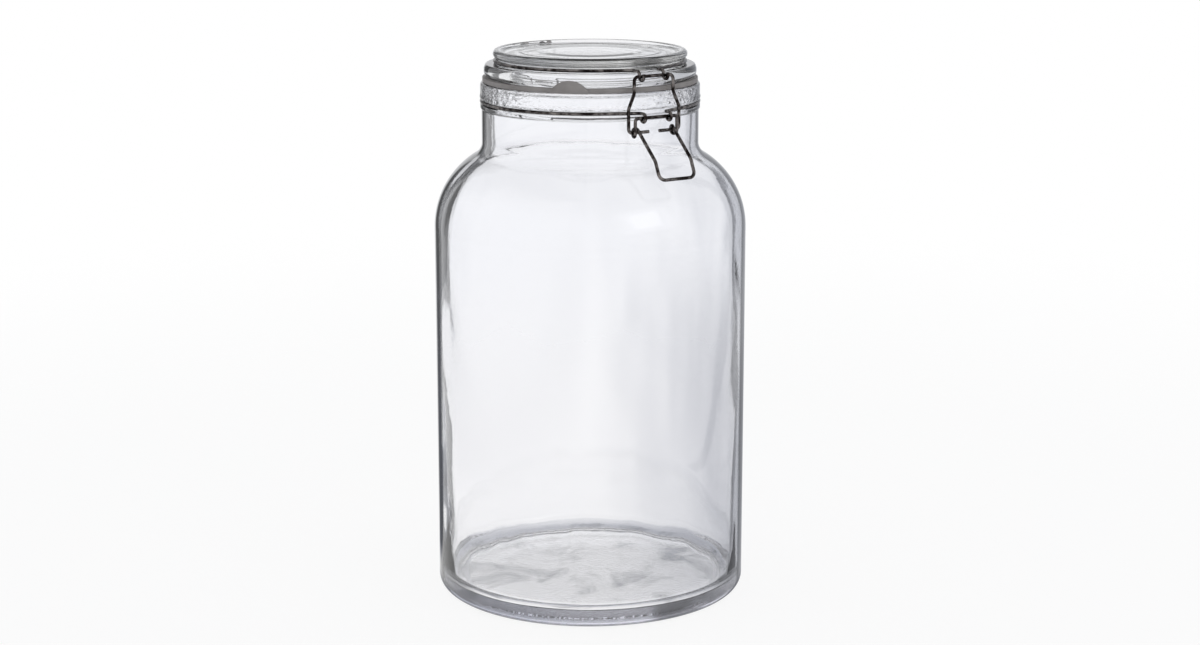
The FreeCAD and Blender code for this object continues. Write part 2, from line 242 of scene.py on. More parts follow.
def new_material(name: str) -> tuple[bpy.types.Material, Tree, bpy.types.Node]:
    """Start a node material that holds nothing but its output.

    Args:
        name: The real material and how it was made.

    Returns:
        The material, its node tree and its output node.
    """
    material = bpy.data.materials.new(name)
    material.use_nodes = True
    tree = material.node_tree
    tree.nodes.clear()
    return material, tree, tree.nodes.new("ShaderNodeOutputMaterial")


# ---------------------------------------------------------------- finishes

class GlassMaking(Enum):
    """How a piece of glass was formed, which gives its surface."""

    BLOWN = "blown in a mould"
    PRESSED = "pressed in a mould"


@dataclass(frozen=True)
class SodaLimeGlass:
    """Clear soda-lime glass: colourless face on, greyer where thick, with a painted dark edge
    where seen edge on and painted grey shade under a blown base.
    """

    making: GlassMaking
    ior: float = 1.52
    # Slow waves, drawn out upright in blown glass, and a fine ripple.
    wave_mm: float = 30.0
    wave_depth_mm: float = 1.6
    blown_stretch: Triple = (1.0, 1.0, 0.4)
    smooth_share: float = 0.12
    free_side: float = -0.03
    mould_side: float = -0.01
    ripple_mm: float = 7.0
    ripple_depth_mm: float = 0.02
    # Marks of the mould on blown glass: stipple under the base, wrinkles at the rim.
    stipple_mm: float = 1.1
    stipple_depth_mm: float = 0.30
    stipple_fade_mm: float = 0.4
    wrinkle_mm: float = 2.6
    wrinkle_stretch: Triple = (0.6, 0.6, 1.2)
    wrinkle_depth_mm: float = 0.85
    wrinkle_from_mm: float = 273.0
    wrinkle_fade_mm: float = 1.5
    wrinkle_way: Triple = (0.845, -0.534, 0.0)
    wrinkle_span: Pair = (0.024, 0.046)
    wrinkle_least: float = 0.15
    # Painted shade on the surface where it is seen nearly edge on, and the tint of the glass
    # itself.
    painted_edge_from: float = 0.745
    painted_edge_to: float = 0.79
    painted_edge_colour: str = "07080b"
    body_colour: str = "fdfdfe"
    absorb_colour: str = "e6e6f0"
    absorb_density: float = 6.0
    # Painted shade under the base: grey patches that stand for the darker reflections seen
    # through it, and a greyer bearing ring.
    underside_top_mm: float = 0.0
    painted_patch_mm: float = 34.0
    painted_patch_span: Pair = (0.48, 0.66)
    painted_base_shade_colour: str = "40454f"
    painted_ring_shade_share: float = 0.12
    painted_ring_shade_fade_mm: Pair = (0.35, 0.6)

    def make(self) -> bpy.types.Material:
        """Build the material, with the slow waves and fine ripple that the mould leaves.

        Returns:
            The material.
        """
        material, tree, output = new_material(f"soda-lime glass, {self.making.value}")
        place = add_node(tree, "ShaderNodeTexCoord").outputs["Object"]
        blown = self.making is GlassMaking.BLOWN
        # Blown walls vary in thickness in long upright waves; pressed glass has rounder ones.
        along = stretched(tree, place, self.blown_stretch if blown else (1.0, 1.0, 1.0))
        waves = noise(tree, along, self.wave_mm, 1.0, 0.4)
        ripple = noise(tree, place, self.ripple_mm)
        normal = bump(tree, waves, self.wave_distance(tree, place))
        normal = bump(tree, ripple, self.ripple_depth_mm * MM, below=normal)
        if blown:
            normal = self.mould_marks(tree, place, normal)
        # The outside is given painted shade, a dark tint where it is seen nearly edge on,
        # which draws the outlines more strongly than the shader alone does.
        angle = add_node(tree, "ShaderNodeLayerWeight", {"Blend": 0.5, "Normal": normal})
        inside = add_node(tree, "ShaderNodeNewGeometry").outputs["Backfacing"]
        entering = add_node(tree, "ShaderNodeMath", {
            0: angle.outputs["Facing"], 1: inside}, operation="SUBTRACT")
        edge = ramp(tree, entering.outputs[0], [
            (self.painted_edge_from, linear(self.body_colour)), (self.painted_edge_to, linear(self.painted_edge_colour))])
        glass = add_node(tree, "ShaderNodeBsdfPrincipled", {
            "Base Color": self.with_painted_base_shade(tree, place, edge), "Roughness": 0.0,
            "IOR": self.ior, "Transmission Weight": 1.0, "Normal": normal})
        depth = add_node(tree, "ShaderNodeVolumeAbsorption", {
            "Color": linear(self.absorb_colour), "Density": self.absorb_density})
        tree.links.new(glass.outputs[0], output.inputs["Surface"])
        tree.links.new(depth.outputs[0], output.inputs["Volume"])
        return material

    def wave_distance(self, tree: Tree, place: Socket) -> Socket:
        """Make the waves deep on the free side of the glass and shallow against the mould.

        Args:
            tree: The node tree that gets the nodes.
            place: The place on the piece.

        Returns:
            The depth of the waves, in metres.
        """
        face = add_node(tree, "ShaderNodeNewGeometry")
        outward = dot(tree, flat(tree, place), face.outputs["Normal"])
        turned = add_node(tree, "ShaderNodeMath", {
            0: face.outputs["Backfacing"], 1: -2.0, 2: 1.0}, operation="MULTIPLY_ADD")
        side = product(tree, outward, turned.outputs[0])
        deep = self.wave_depth_mm * MM
        return remap(tree, side, (self.free_side, self.mould_side),
                     (deep, deep * self.smooth_share))

    def mould_marks(self, tree: Tree, place: Socket, below: Socket) -> Socket:
        """Add the stipple of a mould's base plate and the wrinkles of the chilled rim.

        Args:
            tree: The node tree that gets the nodes.
            place: The place on the piece.
            below: The normal that these marks are laid on.

        Returns:
            The new normal.
        """
        height = height_of(tree, place)
        far = add_node(tree, "ShaderNodeMath", {0: dot(tree, place, self.wrinkle_way)},
                       operation="ABSOLUTE").outputs[0]
        uneven = remap(tree, far, self.wrinkle_span, (self.wrinkle_least, 1.0))
        marks = (
            (self.stipple_mm, (1.0, 1.0, 1.0), self.stipple_depth_mm,
             self.underside_top_mm + self.stipple_fade_mm, self.underside_top_mm, 1.0),
            (self.wrinkle_mm, self.wrinkle_stretch, self.wrinkle_depth_mm,
             self.wrinkle_from_mm, self.wrinkle_from_mm + self.wrinkle_fade_mm, uneven),
        )
        for size, stretch, depth, none_at, full_at, part in marks:
            grain = noise(tree, stretched(tree, place, stretch), size, 2.0, 0.6)
            share = remap(tree, height, (none_at * MM, full_at * MM), (0.0, depth * MM))
            below = bump(tree, grain, product(tree, share, part), below=below)
        return below

    def with_painted_base_shade(self, tree: Tree, place: Socket, colour: Socket) -> Socket:
        """Add painted shade under a blown base: grey patches and a greyer bearing ring, which
        stand for the darker reflections seen through it.

        Args:
            tree: The node tree that gets the nodes.
            place: The place on the piece.
            colour: The glass's colour before the painted shade.

        Returns:
            The colour with the painted shade below a height.
        """
        height = height_of(tree, place)
        low = add_node(tree, "ShaderNodeMath", {
            0: height, 1: self.underside_top_mm * MM}, operation="LESS_THAN").outputs[0]
        # Painted shade: cloudy grey patches below a height, and a grey bearing ring.
        cloud = noise(tree, place, self.painted_patch_mm, 5.0, 0.62, 0.8)
        painted_patch = remap(tree, cloud, self.painted_patch_span)
        worn_from, worn_to = self.painted_ring_shade_fade_mm
        ring = remap(tree, height, (worn_from * MM, worn_to * MM), (self.painted_ring_shade_share, 0.0))
        share = product(tree, low, larger(tree, painted_patch, ring))
        return mixed(tree, share, colour, linear(self.painted_base_shade_colour))


@dataclass(frozen=True)
class SealRubber:
    """Moulded natural rubber, grey-brown and slightly see-through: soft satin skin, fine dust."""

    colour: str = "8e8987"
    worn_colour: str = "a7a3a1"
    colour_span: Pair = (0.35, 0.75)
    mottle_mm: float = 9.0
    skin_mm: float = 0.5
    skin_depth_mm: float = 0.05
    skin_strength: float = 0.5
    roughness: Pair = (0.42, 0.62)
    see_through: float = 0.4
    ior: float = 1.45

    def make(self) -> bpy.types.Material:
        """Build the material: mottled colour, satin skin with a fine moulded grain.

        Returns:
            The material.
        """
        material, tree, output = new_material("natural rubber, moulded")
        place = add_node(tree, "ShaderNodeTexCoord").outputs["Object"]
        mottle = noise(tree, place, self.mottle_mm, 4.0)
        new_at, worn_at = self.colour_span
        colour = ramp(tree, mottle, [
            (new_at, linear(self.colour)), (worn_at, linear(self.worn_colour))])
        grain = noise(tree, place, self.skin_mm)
        rubber = add_node(tree, "ShaderNodeBsdfPrincipled", {
            "Base Color": colour, "Roughness": remap(tree, mottle, to=self.roughness),
            "Transmission Weight": self.see_through, "IOR": self.ior,
            "Normal": bump(tree, grain, self.skin_depth_mm * MM, self.skin_strength)})
        tree.links.new(rubber.outputs[0], output.inputs["Surface"])
        return material


@dataclass(frozen=True)
class DrawnSteel:
    """Stainless spring wire, drawn through a die, with fine drawing marks: its dark tone is
    painted shade and its bright patches are painted highlights.
    """

    painted_highlight_colour: str = "8f8986"
    painted_shade_colour: str = "211c1b"
    colour_span: Pair = (0.44, 0.70)
    patch_mm: float = 4.0
    mark_mm: float = 0.35
    mark_span: Pair = (0.3, 0.7)
    mark_depth_mm: float = 0.04
    mark_strength: float = 0.35
    roughness: Pair = (0.16, 0.34)

    def make(self) -> bpy.types.Material:
        """Build the material: random patches of painted shade and painted highlight, and fine
        marks from die and pliers.

        Returns:
            The material.
        """
        material, tree, output = new_material("stainless spring steel, drawn wire")
        place = add_node(tree, "ShaderNodeTexCoord").outputs["Object"]
        patches = noise(tree, place, self.patch_mm, 5.0, 0.6)
        # Painted shade and highlight: the dark tone stands for the dark room that the wire
        # mirrors, the bright patches for highlights.
        shade_at, highlight_at = self.colour_span
        colour = ramp(tree, patches, [
            (shade_at, linear(self.painted_shade_colour)), (highlight_at, linear(self.painted_highlight_colour))])
        marks = noise(tree, place, self.mark_mm, 3.0, 0.7)
        steel = add_node(tree, "ShaderNodeBsdfPrincipled", {
            "Base Color": colour, "Metallic": 1.0,
            "Roughness": remap(tree, marks, self.mark_span, self.roughness),
            "Normal": bump(tree, marks, self.mark_depth_mm * MM, self.mark_strength)})
        tree.links.new(steel.outputs[0], output.inputs["Surface"])
        return material


# ---------------------------------------------------------------- turned pieces

@dataclass
class Section:
    """Half section of a turned piece, in millimetres, from the axis round and back to it."""

    corners: list[Triple] = field(default_factory=list)

    def to(self, radius: float, height: float, fillet: float = 0.0) -> "Section":
        """Go straight to a corner, which is rounded with a fillet of the given radius."""
        self.corners.append((radius, height, fillet))
        return self

    def arc(self, centre: Pair, radius: float, start: float, end: float,
            steps: int) -> "Section":
        """Follow an arc.

        Args:
            centre: Radius and height of its centre.
            radius: Its own radius.
            start: Angle at which it starts, in degrees.
            end: Angle at which it ends, in degrees.
            steps: How many straight pieces it is drawn with.

        Returns:
            The section itself, so that calls can follow each other.
        """
        for i in range(steps + 1):
            angle = math.radians(start + (end - start) * i / steps)
            self.to(centre[0] + radius * math.cos(angle), centre[1] + radius * math.sin(angle))
        return self

    def line(self) -> list[Vector]:
        """Draw the section, with each fillet as a short run of straight pieces.

        Returns:
            The section's points, in metres.
        """
        bare = [Vector((r, 0, z)) for r, z, _ in self.corners]
        points = []
        for i, corner in enumerate(bare):
            fillet = self.corners[i][2]
            if fillet == 0.0:
                points.append(corner * MM)
                continue
            back, ahead = bare[i - 1] - corner, bare[i + 1] - corner
            half = back.angle(ahead) / 2
            reach = min(fillet / math.tan(half), FILLET_REACH * back.length,
                        FILLET_REACH * ahead.length)
            start = corner + back.normalized() * reach
            end = corner + ahead.normalized() * reach
            for step in range(FILLET_STEPS + 1):
                t = step / FILLET_STEPS
                bend = start * (1 - t) ** 2 + corner * 2 * t * (1 - t) + end * t ** 2
                points.append(bend * MM)
        return points


def make_active(piece: bpy.types.Object) -> None:
    """Select one piece and nothing else, and make it the active one."""
    bpy.ops.object.select_all(action="DESELECT")
    bpy.context.view_layer.objects.active = piece
    piece.select_set(True)


def turn(name: str, line: list[Vector], segments: int) -> bpy.types.Object:
    """Draw a half section by extruding one point and spin it about the vertical axis.

    Args:
        name: The piece's name.
        line: The section's points, in metres.
        segments: How many steps the spin takes.

    Returns:
        The closed piece, with its faces outwards.
    """
    bpy.ops.object.select_all(action="DESELECT")
    bpy.ops.mesh.primitive_plane_add(size=MM, location=line[0])
    piece = bpy.context.object
    piece.name = piece.data.name = name
    bpy.ops.object.transform_apply(location=True)
    bpy.ops.object.mode_set(mode="EDIT")
    bpy.ops.mesh.merge(type="CENTER")
    for here, ahead in zip(line, line[1:]):
        bpy.ops.mesh.extrude_region_move(TRANSFORM_OT_translate={"value": ahead - here})
    bpy.ops.mesh.select_all(action="SELECT")
    bpy.ops.mesh.spin(steps=segments, angle=math.tau, center=(0, 0, 0), axis=(0, 0, 1))
    bpy.ops.mesh.select_all(action="SELECT")
    bpy.ops.mesh.remove_doubles(threshold=MERGE_DISTANCE)
    bpy.ops.mesh.normals_make_consistent(inside=False)
    bpy.ops.object.mode_set(mode="OBJECT")
    return piece


def shift(piece: bpy.types.Object, chosen: list[int], move: Vector) -> None:
    """Select vertices and move them in edit mode.

    Args:
        piece: The piece to shape.
        chosen: Numbers of the vertices to move.
        move: How far they go, in metres.
    """
    make_active(piece)
    bpy.ops.object.mode_set(mode="EDIT")
    bpy.ops.mesh.select_mode(type="VERT")
    bpy.ops.mesh.select_all(action="DESELECT")
    bpy.ops.object.mode_set(mode="OBJECT")
    for number in chosen:
        piece.data.vertices[number].select = True
    bpy.ops.object.mode_set(mode="EDIT")
    bpy.ops.transform.translate(value=move)
    bpy.ops.object.mode_set(mode="OBJECT")


def smooth(piece: bpy.types.Object, degrees: float) -> None:
    """Shade a piece smooth, except across edges sharper than an angle in degrees."""
    make_active(piece)
    bpy.ops.object.shade_smooth_by_angle(angle=math.radians(degrees))


def merged_copy(node: str, name: str) -> bpy.types.Object:
    """Copy a solid's mesh and join its loose triangles into one skin.

    Args:
        node: The solid's name.
        name: The copy's name.

    Returns:
        The copy, as an object of its own.
    """
    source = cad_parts[node]
    piece = bpy.data.objects.new(name, source.data.copy())
    piece.data.name = name
    bpy.context.scene.collection.objects.link(piece)
    make_active(piece)
    if piece.data.has_custom_normals:
        bpy.ops.mesh.customdata_custom_splitnormals_clear()
    bpy.ops.object.mode_set(mode="EDIT")
    bpy.ops.mesh.select_all(action="SELECT")
    bpy.ops.mesh.remove_doubles(threshold=MERGE_DISTANCE)
    bpy.ops.object.mode_set(mode="OBJECT")
    return piece


def dress(piece: bpy.types.Object, material: bpy.types.Material, body: str, node: str) -> None:
    """Give a piece its material and tie it to the body and the solid that it stands for.

    Args:
        piece: The finished piece.
        material: Its material.
        body: The moving body that it rides on.
        node: The solid that it replaces.
    """
    piece.data.materials.clear()
    piece.data.materials.append(material)
    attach(piece, body)
    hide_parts(node)
    LOG.info("%s: %d faces, rides on %s", piece.name, len(piece.data.polygons), body)


# ---------------------------------------------------------------- the jar's own pieces

@dataclass
class BlownJar:
    """The glass jar, in millimetres: pushed-up base, knurled ring, body, shoulder and neck."""

    body_radius: float = 85.0
    wall: float = 3.8
    straight_height: float = 203.5
    wall_step: int = 20
    shoulder_radius: float = 46.0
    heel_radius: float = 7.0
    inner_heel_width: float = 15.0
    inner_heel_height: float = 7.6
    inner_heel_steps: int = 16
    base_thickness: float = 5.0
    push_up: float = 2.4
    push_up_slope: float = 5.0
    ring_inner: float = 74.5
    ring_outer: float = 78.0
    knurl_rings: Triple = (75.3, 76.2, 77.2)
    knurl_span: Pair = (75.0, 77.5)
    knurl_depth: float = 0.30
    neck_radius: float = 58.8
    neck_wall: float = 4.4
    neck_fillet: float = 8.0
    neck_middle: float = 256.0
    bead_bottom: float = 268.221
    bead_top: float = 271.121
    bead_swell: float = 0.7
    bead_flat: float = 0.9
    groove_radius: float = 57.75
    collar_bottom: float = 273.421
    collar_radius: float = 59.4
    collar_swell: Triple = (0.4, 1.3, 2.9)
    rim: float = 282.621
    rim_drop: float = 0.3
    rim_land: float = 56.0
    mouth_bore: float = 52.5
    mouth_taper: float = 6.0
    seam_azimuth: float = -33.75
    seam_height: float = 0.12
    seam_from: float = 215.0
    seam_to: float = 281.0
    segments: int = 480

    def section(self) -> Section:
        """Draw the jar's half section, outside first, with the corners fire-polished.

        Returns:
            The half section.
        """
        centre = self.body_radius - self.shoulder_radius
        inner_shoulder = self.shoulder_radius - self.wall
        bore = self.neck_radius - self.neck_wall
        inner = self.body_radius - self.wall
        floor = self.push_up + self.base_thickness
        # The fillet between shoulder and neck, and the arc inside it about the same centre.
        fillet_x = self.neck_radius + self.neck_fillet
        reach = self.shoulder_radius + self.neck_fillet
        fillet_z = self.straight_height + math.sqrt(reach ** 2 - (fillet_x - centre) ** 2)
        meet = math.degrees(math.atan2(fillet_z - self.straight_height, fillet_x - centre))
        inner_fillet = fillet_x - bore
        inner_reach = inner_shoulder + inner_fillet
        inner_z = self.straight_height + math.sqrt(inner_reach ** 2 - (fillet_x - centre) ** 2)
        inner_meet = math.degrees(math.atan2(inner_z - self.straight_height, fillet_x - centre))
        swell, swell_bottom, swell_top = self.collar_swell

        jar = Section()
        for radius in (0, 20, 45):
            jar.to(radius, self.push_up)
        jar.to(self.ring_inner - self.push_up_slope, self.push_up, 2.0)
        jar.to(self.ring_inner, 0.0, 0.5)
        for radius in self.knurl_rings:
            jar.to(radius, 0.0)
        jar.arc((self.ring_outer, self.heel_radius), self.heel_radius, -90, 0, 12)
        for height in range(self.wall_step, 200, self.wall_step):
            jar.to(self.body_radius, height)
        jar.arc((centre, self.straight_height), self.shoulder_radius, 0, meet, 30)
        # The fillet starts 8 degrees on, so that its first point isn't the shoulder's last.
        jar.arc((fillet_x, fillet_z), self.neck_fillet, meet + 180 - 8, 180, 10)
        jar.to(self.neck_radius, self.neck_middle)
        bead_middle = (self.bead_bottom + self.bead_top) / 2
        jar.to(self.neck_radius, self.bead_bottom, 0.6)
        jar.to(self.neck_radius + self.bead_swell, bead_middle - self.bead_flat, 0.5)
        jar.to(self.neck_radius + self.bead_swell, bead_middle + self.bead_flat, 0.5)
        jar.to(self.neck_radius, self.bead_top, 0.2)
        jar.to(self.groove_radius, self.bead_top, 0.2)
        jar.to(self.groove_radius, self.collar_bottom, 0.2)
        jar.to(self.collar_radius, self.collar_bottom, 0.3)
        jar.to(self.collar_radius + swell, self.collar_bottom + swell_bottom, 0.8)
        jar.to(self.collar_radius, self.collar_bottom + swell_top, 0.8)
        jar.to(self.collar_radius, self.rim - self.rim_drop, 1.6)
        jar.to(self.rim_land, self.rim, 0.8)
        jar.to(self.mouth_bore, self.rim, 1.2)
        jar.to(self.mouth_bore, self.collar_bottom, 2.0)
        jar.to(bore, self.collar_bottom - self.mouth_taper, 3.0)
        jar.arc((fillet_x, inner_z), inner_fillet, 180, 180 + inner_meet, 12)
        jar.arc((centre, self.straight_height), inner_shoulder, inner_meet - 2, 0, 28)
        for height in range(200 - self.wall_step, 0, -self.wall_step):
            jar.to(inner, height + floor)
        for step in range(self.inner_heel_steps + 1):
            turned = math.radians(90 * step / self.inner_heel_steps)
            jar.to(inner - self.inner_heel_width * (1 - math.cos(turned)),
                   floor + self.inner_heel_height * (1 - math.sin(turned)))
        for radius in (60, 40, 20, 0):
            jar.to(radius, floor)
        return jar

    def cut_knurls(self, piece: bpy.types.Object) -> None:
        """Lift every other step of the bearing ring, which leaves fine radial knurls.

        Args:
            piece: The turned jar.
        """
        step = math.tau / self.segments
        inner, outer = self.knurl_span
        chosen = []
        for vertex in piece.data.vertices:
            radius = math.hypot(vertex.co.x, vertex.co.y) / MM
            column = round(math.atan2(vertex.co.y, vertex.co.x) / step)
            if vertex.co.z < MERGE_DISTANCE and inner < radius < outer and column % 2:
                chosen.append(vertex.index)
        shift(piece, chosen, Vector((0, 0, self.knurl_depth * MM)))

    def raise_seams(self, piece: bpy.types.Object) -> None:
        """Push out the two lines where the halves of the mould met.

        Args:
            piece: The turned jar.
        """
        bottom, top = self.seam_from * MM, self.seam_to * MM
        for azimuth in (self.seam_azimuth, self.seam_azimuth + 180):
            turned = math.radians(azimuth)
            outward = Vector((math.sin(turned), -math.cos(turned), 0))
            # Outside faces only, and of those the one column of vertices that lies this way.
            chosen = [
                v.index for v in piece.data.vertices
                if v.normal.dot(outward) > 0.3 and bottom < v.co.z < top
                and Vector((v.co.x, v.co.y, 0)).normalized().dot(outward) > 0.99999
            ]
            shift(piece, chosen, outward * self.seam_height * MM)

    def build(self, glass: bpy.types.Material) -> bpy.types.Object:
        """Turn the jar, add its knurls and mould seams, and dress it.

        Args:
            glass: Its material.

        Returns:
            The jar.
        """
        piece = turn("blown_glass_jar", self.section().line(), self.segments)
        self.cut_knurls(piece)
        self.raise_seams(piece)
        smooth(piece, 50)
        dress(piece, glass, "jar", "glass_jar")
        return piece


@dataclass
class PressedLid:
    """The glass lid, in millimetres: rolled bead, wire groove, broad flange and hollow plug."""

    flange_bottom: float = 285.221
    flange_top: float = 292.421
    flange_radius: float = 57.5
    flange_edge: float = 6.0
    flange_edge_angle: float = 33.0
    groove_radius: float = 50.4
    bead_bottom: float = 295.121
    bead_radius: float = 52.5
    bead_width: float = 6.5
    top: float = 300.021
    top_dip: float = 1.5
    disc_radius: float = 27.0
    disc_slope: float = 2.0
    disc_step: float = 0.5
    ring_radius: float = 37.8
    ring_half_width: float = 0.8
    ring_height: float = 0.25
    plate: float = 6.5
    plug_radius: float = 51.6
    plug_depth: float = 6.2
    plug_wall: float = 7.4
    plug_draft: float = 1.2
    segments: int = 384

    def section(self) -> Section:
        """Draw the lid's half section, from the middle of its top face.

        Returns:
            The half section.
        """
        face = self.top - self.top_dip
        disc = face + self.disc_step
        half = (self.top - self.bead_bottom) / 2
        bead_x = self.bead_radius - half
        bottom = self.flange_bottom - self.plug_depth
        ceiling = face - self.plate
        recess = self.plug_radius - self.plug_wall
        middle = (self.flange_top + self.flange_bottom) / 2
        edge_angle = self.flange_edge_angle

        lid = Section()
        lid.to(0, disc).to(12, disc)
        lid.to(self.disc_radius - self.disc_slope, disc, 3.0)
        lid.to(self.disc_radius + self.disc_slope, face, 3.0)
        lid.to(self.ring_radius - self.ring_half_width, face, 0.5)
        lid.to(self.ring_radius, face + self.ring_height, 0.4)
        lid.to(self.ring_radius + self.ring_half_width, face, 0.5)
        lid.to(self.bead_radius - self.bead_width, face, 2.0)
        lid.to(bead_x - 1.0, self.top, 1.5)
        lid.arc((bead_x, self.top - half), half, 90, -90, 16)
        lid.to(self.groove_radius, self.bead_bottom, 0.4)
        lid.to(self.groove_radius, self.flange_top, 0.4)
        lid.to(self.flange_radius - 1.6, self.flange_top, 1.2)
        lid.arc((self.flange_radius - self.flange_edge, middle), self.flange_edge,
                edge_angle, -edge_angle, 12)
        lid.to(self.flange_radius - 1.2, self.flange_bottom, 0.3)
        lid.to(self.plug_radius, self.flange_bottom, 0.3)
        lid.to(self.plug_radius, bottom, 1.6)
        lid.to(recess, bottom, 1.2)
        lid.to(recess - self.plug_draft, ceiling, 2.5)
        lid.to(20, ceiling).to(0, ceiling)
        return lid

    def build(self, glass: bpy.types.Material) -> bpy.types.Object:
        """Turn the lid and dress it.

        Args:
            glass: Its material.

        Returns:
            The lid.
        """
        piece = turn("pressed_glass_lid", self.section().line(), self.segments)
        smooth(piece, 50)
        dress(piece, glass, "lid", "glass_lid")
        return piece


@dataclass
class SealRing:
    """The rubber seal with its pull tab."""

    edge_mm: float = 0.25
    edge_segments: int = 3
    edge_angle: float = 50.0
    squeeze: float = 0.985

    def build(self, rubber: bpy.types.Material) -> bpy.types.Object:
        """Copy the seal, round its moulded edges and dress it.

        Args:
            rubber: Its material.

        Returns:
            The seal.
        """
        piece = merged_copy("seal", "rubber_seal_ring")
        soften = piece.modifiers.new("moulded edges", "BEVEL")
        soften.width = self.edge_mm * MM
        soften.segments = self.edge_segments
        soften.limit_method = "ANGLE"
        soften.angle_limit = math.radians(self.edge_angle)
        bpy.ops.object.modifier_apply(modifier=soften.name)
        # Pressed a little flatter than the solid, so that it stays clear of both glasses.
        heights = [v.co.z for v in piece.data.vertices]
        middle = (max(heights) + min(heights)) / 2
        bpy.ops.object.mode_set(mode="EDIT")
        bpy.ops.mesh.select_all(action="SELECT")
        bpy.ops.transform.resize(value=(1.0, 1.0, self.squeeze),
                                 center_override=(0.0, 0.0, middle))
        bpy.ops.object.mode_set(mode="OBJECT")
        smooth(piece, 40)
        dress(piece, rubber, "lid", "seal")
        return piece


@dataclass
class ClipWires:
    """The four bent wires: neck band, lid band, closing lever and bail."""

    bodies: dict[str, str] = field(default_factory=lambda: {
        "neck_band": "jar", "lid_band": "lid", "lever": "lever", "bail": "bail"})

    def build(self, steel: bpy.types.Material) -> list[bpy.types.Object]:
        """Copy each wire as one smooth skin and dress it.

        Args:
            steel: Their material.

        Returns:
            The four wires.
        """
        pieces = []
        for node, body in self.bodies.items():
            piece = merged_copy(node, f"drawn_wire_{node}")
            smooth(piece, 45)
            dress(piece, steel, body, node)
            pieces.append(piece)
        return pieces


# ---------------------------------------------------------------- the studio

@dataclass(frozen=True)
class SoftBox:
    """One rectangular lamp, sizes in metres and power in watts."""

    name: str
    place: Triple
    size: Pair
    watts: float
    aim: Triple = (0, 0, 0.2)

    def build(self) -> None:
        """Hang the lamp and turn it to what it lights."""
        lamp = bpy.data.lights.new(self.name, "AREA")
        lamp.shape = "RECTANGLE"
        lamp.size, lamp.size_y = self.size
        lamp.energy = self.watts
        holder = bpy.data.objects.new(self.name, lamp)
        bpy.context.scene.collection.objects.link(holder)
        holder.location = self.place
        facing = Vector(self.aim) - Vector(self.place)
        holder.rotation_euler = facing.to_track_quat("-Z", "Y").to_euler()


